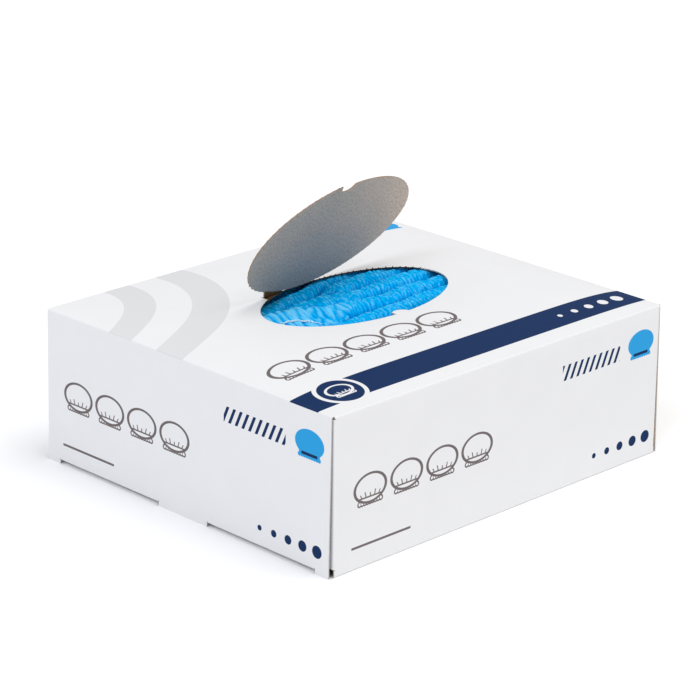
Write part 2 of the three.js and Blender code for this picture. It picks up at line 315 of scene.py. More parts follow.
def sheet_place(tree, flat_map):
    """Where the surface lies on its flat sheet, whole and as a pair of lengths."""
    place = tree.nodes.new("ShaderNodeUVMap")
    place.uv_map = flat_map
    parts = feed_all(tree.nodes.new("ShaderNodeSeparateXYZ"), Vector=place.outputs["UV"])
    return place.outputs["UV"], (parts.outputs["X"], parts.outputs["Y"])


def sheet_noise(scale, detail, place):
    noise = place.id_data.nodes.new("ShaderNodeTexNoise")
    return feed_all(noise, Scale=scale, Detail=detail, Vector=place).outputs["Fac"]


def bump(shader, height, distance):
    raised = feed_all(shader.id_data.nodes.new("ShaderNodeBump"), Distance=distance, Height=height)
    feed_all(shader, Normal=raised.outputs["Normal"])


def coated_board():
    """Clay-coated white board with the print, a satin varnish and a faint fibre under it."""
    material, tree, shader = new_material("printed_coated_board", Specular_IOR_Level=0.03)
    place, at = sheet_place(tree, "blank")
    at = u, v = [calc("DIVIDE", part, MM) for part in at]
    cloud = sheet_noise(45, 3, place)
    colour = blend_colour(cloud, (0.785, 0.785, 0.79, 1), (0.815, 0.815, 0.82, 1))
    back_u, back_v = calc("MULTIPLY", u, -1), calc("MULTIPLY", v, -1)
    x, y, height = LENGTH / 2 / MM, DEPTH / 2 / MM, HEIGHT / MM
    prints = [((-x, -y, x, y), top_print(at, colour))]
    for area, side, width, top_line in (
            ((-x, -y - height, x, -y), at, 2 * x, -y),
            ((-x, y, x, y + height), (back_u, back_v), 2 * x, -y),
            ((-x - height, -y, -x, y), (back_v, u), 2 * y, -x),
            ((x, -y, x + height, y), (v, back_u), 2 * y, -x)):
        prints.append((area, side_print(side, colour, width, top_line)))
    for area, printed in prints:
        colour = blend_colour(ink(bar(at, *area)), colour, printed)
    fibre = sheet_noise(1400, 4, place)
    feed_all(shader, Base_Color=colour, Roughness=calc("MULTIPLY_ADD", fibre, 0.16, 0.42))
    bump(shader, fibre, 0.02 * MM)
    return material


def grey_board(name, light, dark, painted_warm_light=None):
    """Uncoated recycled board: matt, mottled, with fibres that lie up the sheet, and, when given one, a
    painted warm light that makes it lighter and warmer to one side.
    """
    material, tree, shader = new_material(name, Roughness=0.9, Specular_IOR_Level=0.1)
    place, at = sheet_place(tree, "blank")
    lengthwise = tree.nodes.new("ShaderNodeVectorMath")
    lengthwise.operation = "MULTIPLY"
    feed(lengthwise.inputs[0], place)
    feed(lengthwise.inputs[1], (1.0, 0.42, 1.0))
    mottle = sheet_noise(60, 5, place)
    grain = sheet_noise(1250, 3, lengthwise.outputs["Vector"])
    if painted_warm_light:
        # Painted light: towards +x the board is blended lighter and warmer, as where warm light falls on the
        # lid's inside.
        side = ramp(at[0], 1 / (85 * MM), 0.12)
        light = blend_colour(side, light, painted_warm_light)
        dark = blend_colour(calc("MULTIPLY", side, 0.8), dark, painted_warm_light)
    colour = blend_colour(mottle, dark, light)
    darker = calc("MULTIPLY", ramp(grain, -5.0, 2.8), 0.38)
    colour = blend_colour(darker, colour, (0.12, 0.11, 0.10, 1))
    fibre = sheet_noise(2400, 2, place)
    fleck = calc("GREATER_THAN", fibre, 0.66)
    colour = blend_colour(calc("MULTIPLY", fleck, 0.3), colour, (0.09, 0.08, 0.07, 1))
    feed_all(shader, Base_Color=colour)
    bump(shader, grain, 0.08 * MM)
    return material


board_outside = coated_board()
# The inside carries painted warm light, lighter and warmer towards +x.
board_inside = grey_board("grey_board_inside", (0.455, 0.43, 0.40, 1), (0.375, 0.36, 0.34, 1),
                          painted_warm_light=(0.78, 0.62, 0.49, 1))
board_edge = grey_board("cut_board_edge", (0.62, 0.59, 0.55, 1), (0.46, 0.43, 0.40, 1))
lid_edge = grey_board("torn_lid_edge", (0.44, 0.31, 0.20, 1), (0.24, 0.15, 0.08, 1))
board_torn = grey_board("torn_board_core", (0.20, 0.10, 0.03, 1), (0.06, 0.025, 0.008, 1))
# Near black: the torn board's own brown darkened with painted shade, for the cut edge at the back of the
# mouth and its nicks, which lie in shadow under the rim.
torn_rim_shade = grey_board("torn_rim_painted_shade", (0.045, 0.03, 0.02, 1), (0.012, 0.008, 0.006, 1))


def on_board(points, loops):
    """Which of the flat points lie inside the first loop and in none of the holes after it."""
    x, y = points[:, 0][:, None], points[:, 1][:, None]
    inside = np.zeros(len(points), bool)
    for loop in loops:
        ax, ay = loop.T
        bx, by = np.roll(ax, -1), np.roll(ay, -1)
        spans = (ay > y) != (by > y)
        with np.errstate(divide="ignore", invalid="ignore"):
            crossing = (bx - ax) * (y - ay) / (by - ay) + ax
        inside ^= np.sum(spans & (x < crossing), axis=1) % 2 == 1
    return inside


def flat_board(outline, holes, us, vs, clear, crease=()):
    """Points and triangles of a flat piece of board: its outline, its holes, a crease, and a grid inside."""
    loops = [np.asarray(loop, float) for loop in [outline] + holes]
    grid = np.array([(u, v) for u in us for v in vs], float)
    grid = grid[on_board(grid, loops)]
    rim = np.concatenate(loops + [np.asarray(crease, float).reshape(-1, 2)])
    far = np.array([np.min(np.hypot(*(rim - p).T)) > clear for p in grid])
    points = np.concatenate([rim, grid[far]])
    edges, start = [], 0
    for loop in loops:
        edges += [(start + i, start + (i + 1) % len(loop)) for i in range(len(loop))]
        start += len(loop)
    edges += [(start + i, start + i + 1) for i in range(len(crease) - 1)]
    made = delaunay_2d_cdt([Vector(p) for p in points], edges, [], 1, 1e-7)
    points = np.array([tuple(p) for p in made[0]])
    triangles = np.array([tuple(f) for f in made[2]])
    triangles = triangles[on_board(points[triangles].mean(axis=1), loops)]
    used, numbers = np.unique(triangles, return_inverse=True)
    return points[used], numbers.reshape(-1, 3)


def stepped(start, *rows):
    """Values from the start up to the stop of each row in turn, no further apart than the row's spacing."""
    values = [start]
    for stop, spacing in rows:
        count = max(1, math.ceil((stop - start) / spacing))
        values += [start + (stop - start) * (i + 1) / count for i in range(count)]
        start = stop
    return values


def gridded_loop(corners, us, vs):
    """A closed loop through the corners that also has a point wherever it crosses a grid line."""
    loop = []
    for (u0, v0), (u1, v1) in zip(corners, corners[1:] + corners[:1]):
        steps = set()
        for values, a, b in ((us, u0, u1), (vs, v0, v1)):
            if abs(b - a) > 0.5 * MM:
                steps |= {(value - a) / (b - a) for value in values}
        long = math.hypot(u1 - u0, v1 - v0)
        kept = [0.0]
        for t in sorted(steps):
            if (t - kept[-1]) * long > 0.1 * MM and (1 - t) * long > 0.1 * MM:
                kept.append(t)
        loop += [(u0 + (u1 - u0) * t, v0 + (v1 - v0) * t) for t in kept]
    return loop


def rectangle(us, vs):
    """The corners of a rectangle."""
    return [(us[0], vs[0]), (us[-1], vs[0]), (us[-1], vs[-1]), (us[0], vs[-1])]


def lay_flat(mesh, name, flat):
    """Maps the mesh's surface to where each of its points lies on the flat sheet, in metres."""
    corners = np.zeros(len(mesh.loops), np.int32)
    mesh.loops.foreach_get("vertex_index", corners)
    mesh.uv_layers.new(name=name).data.foreach_set("uv", flat[corners].astype(np.float32).ravel())


def board_piece(name, flat, outside_at, is_torn=None, edge=board_edge, is_shaded_edge=None):
    """Bends a flat piece of board into place, makes it thick, and paints its outside, inside and cut edge,
    the cut edge in painted shade where asked.
    """
    points, triangles = flat
    outer = np.array([outside_at(u, v) for u, v in points])
    a, b, c = (outer[triangles[:, i]] for i in range(3))
    facing = np.cross(b - a, c - a)
    normals = np.zeros_like(outer)
    for i in range(3):
        np.add.at(normals, triangles[:, i], facing)
    normals /= np.linalg.norm(normals, axis=1)[:, None]
    inner = outer - normals * BOARD
    count = len(points)
    sides = {(t[k], t[(k + 1) % 3]): True for t in triangles for k in range(3)}
    rim = [(i, j) for i, j in sides if (j, i) not in sides]
    faces = [tuple(t) for t in triangles]
    faces += [(t[0] + count, t[2] + count, t[1] + count) for t in triangles]
    faces += [(j, i, i + count, j + count) for i, j in rim]
    piece = shown_mesh(name, np.concatenate([outer, inner]), faces)
    mesh = piece.data
    for material in (board_outside, board_inside, edge, board_torn, torn_rim_shade):
        mesh.materials.append(material)
    inside = [3 if is_torn and is_torn(*points[t].mean(axis=0)) else 1 for t in triangles]
    # Cut edges along the back of the mouth get the near-black painted-shade material.
    edges = [4 if is_shaded_edge and is_shaded_edge(*points[[i, j]].mean(axis=0)) else 2 for i, j in rim]
    kinds = [0] * len(triangles) + inside + edges
    mesh.polygons.foreach_set("material_index", kinds)
    mesh.shade_smooth()
    mesh.set_sharp_from_angle(angle=math.radians(40))
    lay_flat(mesh, "blank", np.concatenate([points, points]))
    return piece


# ------------------------ Oval cut
# The lid's outline is a row of perforations that the user tears open. It leaves a
# small burr on both sides at each uncut nick, a finger tab at the front, and
# one stretch at the back left that was never cut, where the lid stays hinged. The
# lid tore a little wide of the cut beside its hinge and short of it at the front right.
OVAL_LONG, OVAL_DEEP = 64.6 * MM, 36.85 * MM
TORN_GAP = 0.35 * MM
NICK_PITCH, NICK_WIDTH = 4.5 * MM, 1.1 * MM
RIM_NIB, LID_NIB = 0.35 * MM, 0.65 * MM
TORN_WIDE, TORN_SHORT = 1.2 * MM, 1.4 * MM
WIDE_MIDDLE, WIDE_SPREAD, SHORT_OVER = (math.radians(turn) for turn in (150, 24, 85))
TAB = {"left": -4.6 * MM, "left_top": -33.0 * MM, "crown": (2.6 * MM, -30.4 * MM), "right": 5.7 * MM}
HINGE_LEFT, HINGE_RIGHT = -41.2 * MM, -26.2 * MM
HINGE_MIDDLE = (HINGE_LEFT + HINGE_RIGHT) / 2
# Along this stretch of the mouth's back the cut edge is painted in shade, near black.
SHADED_RIM = {"x": (-58 * MM, 62 * MM), "y": (4 * MM, 38 * MM)}
joint = frame["joints"][0]
hinge_at = Vector(joint["pos_m"])
hinge_along = -Vector(joint["axis"]).normalized()
lid_open = -math.radians(joint["range_deg"][0])


def bend_line(x, before=0.0):
    """Where the bend lies at x, or a line parallel to it a little nearer the front."""
    return hinge_at.y + (x - hinge_at.x) * hinge_along.y / hinge_along.x - before


def torn_off_line(turn):
    """How far outside the cut the lid's edge tore, at a place round the oval."""
    wide = TORN_WIDE * np.exp(-((turn - WIDE_MIDDLE) / WIDE_SPREAD) ** 2)
    short = np.sin(np.clip(-turn / SHORT_OVER, 0, 1) * math.pi / 2) ** 0.6
    return wide - TORN_SHORT * short


def oval_loop(inset, burr, tab_grow, hinge_before, rng, uneven=0.0):
    """The oval as a closed loop: inset from the cut, with a burr outwards at each nick."""
    long, deep = OVAL_LONG - inset, OVAL_DEEP - inset
    first = -math.acos((TAB["right"] + tab_grow) / long)
    turn = np.linspace(0, 2 * math.pi, 2400, endpoint=False) + first
    x, y = long * np.cos(turn), deep * np.sin(turn)
    step = np.hypot(np.diff(x, append=x[0]), np.diff(y, append=y[0]))
    run = np.concatenate([[0], np.cumsum(step)[:-1]])
    which = (run // NICK_PITCH).astype(int)
    size = rng.uniform(0.45, 1.0, which.max() + 1)[which]
    place = run - (which + 0.5) * NICK_PITCH
    tooth = np.clip(1 - np.abs(place) / (NICK_WIDTH / 2), 0, 1) * size
    flat = np.abs(place) > NICK_WIDTH / 2 + 0.1 * MM
    normal = np.stack([np.cos(turn) / long, np.sin(turn) / deep], 1)
    normal /= np.linalg.norm(normal, axis=1)[:, None]
    if uneven:
        tooth = tooth * np.clip(1.1 + turn / math.radians(60), 0.1, 1)
    ring = np.stack([x, y], 1) + normal * (tooth * burr + uneven * torn_off_line(turn))[:, None]
    keep = ~flat | (np.arange(len(turn)) % 8 == 0)
    tab_right, tab_left = TAB["right"] + tab_grow, TAB["left"] - tab_grow
    on_tab = (y < 0) & (x > tab_left) & (x < tab_right)
    on_hinge = (y > 0) & (x > HINGE_LEFT - tab_grow) & (x < HINGE_RIGHT + tab_grow)
    keep &= ~on_tab & ~on_hinge
    at_hinge = int(np.argmax(on_hinge))
    loop = [tuple(p) for p in ring[:at_hinge][keep[:at_hinge]]]
    for x_at in np.linspace(HINGE_RIGHT + tab_grow, HINGE_LEFT - tab_grow, 9):
        loop.append((x_at, bend_line(x_at, hinge_before)))
    loop += [tuple(p) for p in ring[at_hinge:][keep[at_hinge:]]]
    foot_left = -deep * math.sqrt(1 - (tab_left / long) ** 2)
    foot_right = -deep * math.sqrt(1 - (tab_right / long) ** 2) + uneven * TORN_SHORT
    crown_x, crown_y = TAB["crown"][0], TAB["crown"][1] + tab_grow
    top_left = TAB["left_top"] + tab_grow
    loop.append((tab_left, foot_left))
    for t in np.linspace(0, 1, 15):
        px = (1 - t) ** 2 * tab_left + 2 * t * (1 - t) * crown_x + t * t * tab_right
        py = (1 - t) ** 2 * top_left + 2 * t * (1 - t) * crown_y + t * t * foot_right
        loop.append((px, py))
    return loop


# ------------------------ Carton blank
# One die-cut blank makes the whole carton. Its top, walls and bottom go round four
# scored folds, with a strip glued up inside the back wall. Dust flaps, an inner flap
# and an outer flap with two tongues close each end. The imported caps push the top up.
FOLD = 1.0 * MM
ARC = FOLD * math.pi / 2
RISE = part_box("top_panel")[1].z - HEIGHT
SQUARE_X, SQUARE_Y = 6.5, 2.1
HINGE_LIFT, LIFT_ASIDE, LIFT_BEHIND = 1.0 * MM, 11 * MM, 9 * MM
TOP_END = LENGTH / 2 - FOLD
WALL_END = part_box("front_panel")[1].x - FOLD
WALL_EDGE = WALL_END + 0.7 * MM
BOTTOM_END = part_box("bottom_panel")[1].x - FOLD
FLAT_TOP = DEPTH / 2 - FOLD
WALL_TOP = FLAT_TOP + ARC
WALL_FOOT = WALL_TOP + HEIGHT - 2 * FOLD
BOTTOM_START = WALL_FOOT + ARC
BOTTOM_MIDDLE = BOTTOM_START + FLAT_TOP
BOTTOM_STOP = BOTTOM_MIDDLE + DEPTH / 2 - BOARD - 0.1 * MM - FOLD
GLUE_END = BOTTOM_STOP + ARC + 13 * MM
BACK_EDGE = WALL_FOOT + 0.95 * FOLD
DUST_HIGH, DUST_LOW = WALL_TOP + 0.5 * MM, WALL_TOP + 84.5 * MM
DUST_REACH = WALL_END + ARC + 54 * MM
INNER_HALF, INNER_REACH = 112 * MM, BOTTOM_END + ARC + 49 * MM
SLOT_FROM, SLOT_TO, SLOT_TOP = 19 * MM, 105 * MM, 4.2 * MM
FLAP_HALF = 114.4 * MM
FLAP_FOOT = TOP_END + HEIGHT + 0.6 * MM
TONGUE_FROM, TONGUE_TO, TONGUE_RISE, TONGUE_REACH = 20 * MM, 104 * MM, 2.0 * MM, 11.5 * MM
TUCK_FOLD = 1.2 * MM
TUCK_START = FLAP_FOOT - TONGUE_RISE - TUCK_FOLD
SPLAY = math.atan2(-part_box("left_end_flap")[0].x - LENGTH / 2, HEIGHT)
rng = np.random.default_rng(11)


def top_height(x, y):
    """Height of the top's outside, pushed up by the caps."""
    along_x = np.maximum(1 - np.abs(2 * x / LENGTH) ** SQUARE_X, 0)
    along_y = np.maximum(1 - np.abs(2 * y / DEPTH) ** SQUARE_Y, 0)
    return HEIGHT + RISE * along_x * along_y


def drawn_up(x, y):
    """How far the board beside the hinge is pulled up."""
    aside, behind = (x - HINGE_MIDDLE) / LIFT_ASIDE, (y - bend_line(x)) / LIFT_BEHIND
    return HINGE_LIFT * math.exp(-aside * aside - behind * behind)


def quarter_bend(past, radius):
    """How far a quarter bend and the board past it reach: ahead, and aside."""
    bent = min(past / radius, math.pi / 2)
    return radius * math.sin(bent), radius * (1 - math.cos(bent)) + max(past - radius * math.pi / 2, 0)


def end_flap_at(u, v):
    """The outside of an outer end flap; its foot springs out, and its tongues turn in."""
    down = abs(u) - TOP_END
    inner_end = TOP_END - 0.5 * MM
    slope = math.atan2(top_height(inner_end, v) - top_height(TOP_END, v), 0.5 * MM)
    turn = math.pi / 2 - SPLAY - slope
    bent = min(down, FOLD * turn) / FOLD
    x = TOP_END + FOLD * (math.sin(slope + bent) - math.sin(slope))
    z = top_height(TOP_END, v) - FOLD * (math.cos(slope) - math.cos(slope + bent))
    tucked = TONGUE_FROM < abs(v) < TONGUE_TO and abs(u) > TUCK_START
    straight = (TUCK_START - TOP_END if tucked else down) - FOLD * turn
    if straight > 0:
        straight *= z / math.cos(SPLAY) / (FLAP_FOOT - TOP_END - FOLD * turn)
        x += straight * math.sin(SPLAY)
        z -= straight * math.cos(SPLAY)
    if tucked:
        ahead, aside = quarter_bend(abs(u) - TUCK_START, TUCK_FOLD)
        x -= aside
        z -= ahead
    return math.copysign(x, u), v, max(z, 0.0)


def bent_end(u, start):
    """Where a panel gets to whose flap is bent inwards past its end: along u, and inwards."""
    if abs(u) <= start:
        return u, 0
    ahead, inwards = quarter_bend(abs(u) - start, FOLD)
    return math.copysign(start + ahead, u), inwards


def blank_at(u, s):
    """The blank's outside: u along the carton, and s round it from the top's middle, negative in front."""
    side, d = math.copysign(1, s), abs(s)
    if d <= FLAT_TOP:
        if abs(u) > TOP_END:
            return end_flap_at(u, s)
        return u, s, top_height(u, s) + drawn_up(u, s)
    if d <= WALL_TOP:
        bent = (d - FLAT_TOP) / FOLD
        edge_rise = (top_height(u, side * FLAT_TOP) - HEIGHT) * math.cos(bent)
        return u, side * (FLAT_TOP + FOLD * math.sin(bent)), HEIGHT - FOLD + FOLD * math.cos(bent) + edge_rise
    if d <= WALL_FOOT or side > 0:
        has_flap = DUST_HIGH - 0.1 * MM <= d <= DUST_LOW + 0.1 * MM
        x, inwards = bent_end(u, WALL_END) if has_flap else (u, 0)
        return x, side * (DEPTH / 2 - inwards), HEIGHT - FOLD - (d - WALL_TOP)
    if d <= BOTTOM_START:
        bent = (d - WALL_FOOT) / FOLD
        return u, -FLAT_TOP - FOLD * math.cos(bent), FOLD - FOLD * math.sin(bent)
    if d <= BOTTOM_STOP:
        x, upwards = bent_end(u, BOTTOM_END)
        return x, d - BOTTOM_MIDDLE, upwards
    y, upwards = bent_end(d - BOTTOM_MIDDLE, BOTTOM_STOP - BOTTOM_MIDDLE)
    return u, y, upwards


def mirrored(values):
    return [-value for value in values[::-1] if value > 0] + values


fold_step, tuck_stop = ARC / 6, TUCK_START + TUCK_FOLD * math.pi / 2
blank_us = mirrored(stepped(
    0, (122 * MM, 3.6 * MM), (WALL_END, 1.6 * MM), (TOP_END + ARC, fold_step), (134 * MM, 1.4 * MM),
    (TUCK_START, 6 * MM), (tuck_stop, fold_step), (tuck_stop + TONGUE_REACH, 4 * MM)))
half_ss = stepped(0, (110 * MM, 4 * MM), (FLAT_TOP, 1.2 * MM), (WALL_TOP, fold_step), (WALL_FOOT, 8 * MM))
under_ss = stepped(WALL_FOOT, (BOTTOM_START, fold_step), (BOTTOM_STOP, 12 * MM),
                   (BOTTOM_STOP + ARC, fold_step))[1:] + [GLUE_END]
blank_ss = [-s for s in under_ss[::-1]] + mirrored(half_ss) + [BACK_EDGE]

tongue_end, slit, taper = tuck_stop + TONGUE_REACH, 0.25 * MM, 3 * MM
flap_corners = [(TOP_END, FLAP_HALF), (FLAP_FOOT, FLAP_HALF), (FLAP_FOOT, TONGUE_TO + slit),
                (TUCK_START, TONGUE_TO + slit), (TUCK_START, TONGUE_TO - slit),
                (tuck_stop, TONGUE_TO - slit), (tongue_end, TONGUE_TO - taper),
                (tongue_end, TONGUE_FROM + taper), (tuck_stop, TONGUE_FROM + slit),
                (TUCK_START, TONGUE_FROM + slit), (TUCK_START, TONGUE_FROM - slit),
                (FLAP_FOOT, TONGUE_FROM - slit)]
dust_corners = [(WALL_EDGE, DUST_LOW + 0.4 * MM), (WALL_END, DUST_LOW + 0.4 * MM), (WALL_END, DUST_LOW),
                (DUST_REACH, DUST_LOW - taper), (DUST_REACH, DUST_HIGH + taper), (WALL_END, DUST_HIGH),
                (WALL_END, DUST_HIGH - 0.3 * MM), (WALL_EDGE, DUST_HIGH - 0.3 * MM), (WALL_EDGE, FLAT_TOP)]
inner_from, inner_to = BOTTOM_MIDDLE - INNER_HALF, BOTTOM_MIDDLE + INNER_HALF
under_corners = [(WALL_EDGE, BOTTOM_START), (BOTTOM_END, inner_from), (INNER_REACH, inner_from + taper),
                 (INNER_REACH, inner_to - taper), (BOTTOM_END, inner_to), (WALL_EDGE, BOTTOM_STOP),
                 (WALL_EDGE - 6 * MM, GLUE_END)]
right_side = [(WALL_EDGE, BACK_EDGE)] + dust_corners + flap_corners
right_side += [(u, -s) for u, s in flap_corners[::-1]] + [(u, -s) for u, s in dust_corners[::-1]]
right_side += [(u, -s) for u, s in under_corners]
blank_corners = right_side + [(-u, s) for u, s in right_side[::-1]]
blank_holes = [oval_loop(0, -RIM_NIB, 0, -1.2 * MM, rng)]
slot_u0, slot_u1 = BOTTOM_END - 1.5 * MM, BOTTOM_END + ARC + SLOT_TOP - FOLD
for end in (-1, 1):
    for row in (-1, 1):
        us = sorted((end * slot_u0, end * slot_u1))
        ss = sorted(-BOTTOM_MIDDLE - row * v for v in (SLOT_FROM, SLOT_TO))
        blank_holes.append(gridded_loop(rectangle(us, ss), blank_us, blank_ss))
blank_loop = gridded_loop(blank_corners, blank_us, blank_ss)
blank_flat = flat_board(blank_loop, blank_holes, blank_us, blank_ss, 1.1 * MM)
(rim_x0, rim_x1), (rim_y0, rim_y1) = SHADED_RIM["x"], SHADED_RIM["y"]
blank = board_piece("carton_blank", blank_flat, blank_at,
                    is_shaded_edge=lambda u, s: rim_x0 < u < rim_x1 and rim_y0 < s < rim_y1)
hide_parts("top_panel", "front_panel", "back_panel", "bottom_panel",
            *[f"{end}_{part}" for end in ("left", "right")
              for part in ("end_flap", "inner_flap", "dust_flap_a", "dust_flap_b")])
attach(blank, "carton")

# ------------------------ Torn nicks
# Along the back of the mouth the nicks tore upwards, and each left a little point of board standing on the
# rim, coloured near black: the torn board's brown with painted shade, as the nicks lie in the shadow line
# under the back rim.
NICK_HEIGHT, NICK_SPACING = 0.8 * MM, 4.0 * MM
NICKS_FROM, NICKS_TO = math.radians(16), math.radians(112)
points, faces = [], []
turns = np.linspace(NICKS_FROM, NICKS_TO, 800)
steps = np.hypot(OVAL_LONG * np.sin(turns), OVAL_DEEP * np.cos(turns)) * (turns[1] - turns[0])
for turn in np.interp(np.arange(0, steps.sum(), NICK_SPACING), np.cumsum(steps), turns):
    x, y = OVAL_LONG * math.cos(turn), OVAL_DEEP * math.sin(turn)
    along = Vector((-OVAL_LONG * math.sin(turn), OVAL_DEEP * math.cos(turn), 0)).normalized()
    outwards = Vector((along.y, -along.x, 0))
    foot = Vector((x, y, top_height(x, y) + drawn_up(x, y) - 0.05 * MM)) + along * rng.uniform(-0.4, 0.4) * MM
    half = rng.uniform(0.45, 0.7) * MM
    tip = foot + outwards * 0.2 * MM + along * rng.uniform(-0.3, 0.3) * MM
    tip += Vector((0, 0, NICK_HEIGHT * rng.uniform(0.6, 1.1)))
    start = len(points)
    points += [foot - along * half, foot + along * half, foot + outwards * 0.45 * MM, tip]
    faces += [[start + i for i in face] for face in ((0, 2, 1), (0, 1, 3), (1, 2, 3), (2, 0, 3))]
nicks = shown_mesh("mouth_nicks", points, faces)
nicks.data.materials.append(torn_rim_shade)
lay_flat(nicks.data, "blank", np.array([(p[0], p[1]) for p in points]))
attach(nicks, "carton")

# ------------------------ Lid
# The freed oval stands up on its uncut bit. Its grey inside faces the front, and
# its printed side the back. By the hinge its grey ply tore along the nicks and the
# brown core shows.
swing = Matrix.Rotation(-lid_open, 4, hinge_along)
lid_turn = Matrix.Translation(hinge_at) @ swing @ Matrix.Translation(-hinge_at)
LID_BOW = 0.5 * MM


def lid_at(x, y):
    bow = LID_BOW * (1 - (x / OVAL_LONG) ** 2)
    return tuple(lid_turn @ Vector((x, y, top_height(x, y) + bow)))


def beyond_oval(x, y):
    """Whether a place on the lid lies between its cut and its hinge, where the grey ply tore off."""
    in_hinge = HINGE_LEFT - MM < x < HINGE_RIGHT + MM
    return y > 0 and in_hinge and (x / (OVAL_LONG - TORN_GAP)) ** 2 + (y / (OVAL_DEEP - TORN_GAP)) ** 2 > 1


torn_line = []
for i, x in enumerate(np.linspace(HINGE_LEFT + 0.3 * MM, HINGE_RIGHT - 0.3 * MM, 27)):
    y = (OVAL_DEEP - TORN_GAP) * math.sqrt(1 - (x / (OVAL_LONG - TORN_GAP)) ** 2)
    torn_line.append((x, y + (0.0, 0.35, 0.9)[i % 3] * MM * rng.uniform(0.4, 1.0) - 0.1 * MM))
lid_loop = oval_loop(TORN_GAP, LID_NIB, TORN_GAP, 0.8 * MM, rng, uneven=1.0)
lid_us = stepped(-OVAL_LONG, (OVAL_LONG, 3 * MM))
lid_vs = stepped(-OVAL_DEEP, (OVAL_DEEP, 3 * MM))
lid_flat = flat_board(lid_loop, [], lid_us, lid_vs, 1.2 * MM, torn_line)
lid = board_piece("lid_board", lid_flat, lid_at, beyond_oval, lid_edge)
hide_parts("lid")
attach(lid, "lid")

# ------------------------ Bend at the lid's hinge
# The uncut bit of board bends from the top panel up into the lid. Its inside has
# split, so the brown core shows.
BEND_STEPS, BEND_ALONG = 10, 14
panel_before, lid_before = 1.2 * MM, 0.8 * MM


def bend_at(x, t):
    """The outside of the bend: t runs from the panel's edge to the lid's edge."""
    on_panel = Vector(blank_at(x, bend_line(x, -panel_before)))
    back_panel = Vector(blank_at(x, bend_line(x, -panel_before - MM)))
    on_lid = Vector(lid_at(x, bend_line(x, lid_before)))
    down_lid = Vector(lid_at(x, bend_line(x, lid_before + MM)))
    pull = (on_lid - on_panel).length * 0.45
    a, d = on_panel, on_lid
    b = a + (on_panel - back_panel).normalized() * pull
    c = d + (on_lid - down_lid).normalized() * pull
    return tuple((1 - t) ** 3 * a + 3 * t * (1 - t) ** 2 * b + 3 * t * t * (1 - t) * c + t ** 3 * d)


bend_us = list(np.linspace(HINGE_LEFT + 0.2 * MM, HINGE_RIGHT - 0.2 * MM, BEND_ALONG))
bend_vs = list(np.linspace(0, 1, BEND_STEPS))
bend_loop = gridded_loop(rectangle(bend_us, bend_vs), bend_us, bend_vs)
bend_flat = flat_board(bend_loop, [], bend_us[1:-1], bend_vs[1:-1], 0.1 * MM)
bend = board_piece("lid_bend", bend_flat, lambda u, v: bend_at(u, 1 - v), edge=board_torn)
bend.data.materials[1] = board_torn
start, end = (Vector(bend_at(HINGE_MIDDLE, t)) for t in (0, 1))
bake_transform(bend)

# ------------------------ Split ply at the hinge
# The inner ply of the top stayed flat under the bend, up to the row of nicks, and
# shows its torn brown face.
PLY_DROP = 0.75 * MM
ply_xs = np.linspace(HINGE_LEFT + 0.3 * MM, HINGE_RIGHT - 0.3 * MM, 22)
ply_front = [(x, OVAL_DEEP * math.sqrt(1 - (x / OVAL_LONG) ** 2) + rng.uniform(-0.25, 0.15) * MM)
             for x in ply_xs]
ply_back = [(x, bend_line(x, -2.2 * MM)) for x in ply_xs[::-1]]
ply_flat = flat_board(ply_front + ply_back, [], ply_xs[1:-1:2], np.linspace(28 * MM, 36 * MM, 9), 0.5 * MM)
ply = board_piece("split_ply", ply_flat, lambda x, y: (x, y, top_height(x, y) + drawn_up(x, y) - PLY_DROP))
for place in range(3):
    ply.data.materials[place] = board_torn
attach(ply, "carton")

# ------------------------ Folded caps
# Each cap is a disc of thin blue spunbond cloth, gathered by its elastic hem and
# pressed into a long crimped strip. They lie side by side along the carton; the
# five under the mouth have been loosened by the hand that opened it.
LOOSE = {  # how deep its groove is, then for each section its x, middle y, half width and top
    "cap_07": (0.6, [
        (-124, -15.6, 6.5, 90), (-50, -15, 6.5, 89.6), (-26.9, -16.7, 6.6, 91.4), (-9.8, -18.9, 6.9, 93.1),
        (7.7, -21.1, 7, 94.3), (32.7, -19.4, 6.9, 94.5), (75, -19.5, 6.9, 94.5), (124, -19.5, 6.9, 90)]),
    "cap_08": (0.5, [
        (-124, 8, 14, 90.4), (-50, 9.6, 13, 93.2), (-38, 9, 13, 93.3), (-30, 7.2, 12.9, 93.5),
        (-21, 2.2, 10.6, 94), (-11.5, -1.7, 8.6, 94.6), (7.7, -6.2, 7.2, 95), (32.7, -5.1, 7.2, 95.5),
        (75, -5.1, 7.2, 95.4), (124, -5.2, 6.9, 90)]),
    "cap_09": (0.8, [
        (-35.5, 23.6, 1.4, 89.2), (-30, 23.8, 2.8, 91.2), (-21, 20.7, 6.8, 91.9), (-11.5, 17.9, 9.9, 92.4),
        (-5.5, 17.5, 10.6, 92.9), (0, 13.8, 9.7, 93.4), (7.7, 9.3, 6.9, 94.8), (32.7, 9.8, 7.1, 95.9),
        (75, 9.6, 7, 95.7), (124, 9.1, 6.9, 89.8)]),
    "cap_10": (1.2, [
        (-2.5, 27.6, 1.5, 91.2), (1.5, 26.7, 3, 92.8), (7.7, 24, 7.1, 94.9), (32.7, 24.7, 7.1, 96),
        (75, 24.2, 7, 95.6), (124, 23.4, 6.9, 89.8)]),
    "cap_11": (0.5, [
        (-124, 31.4, 8.3, 89.6), (-50, 32.2, 8.9, 90.3), (-38, 33.2, 8.4, 90.5), (-26.9, 34.6, 6.6, 91.1),
        (-9.8, 35.4, 6.6, 92), (7.7, 37.9, 6.3, 94.6), (32.7, 38.4, 6.2, 95.7), (75, 38.2, 6.4, 95.2),
        (124, 37.6, 6.9, 89.8)]),
}
FRONT_ROW = {"nearest": -36.3, "pitch": 14.2, "half": 6.8}
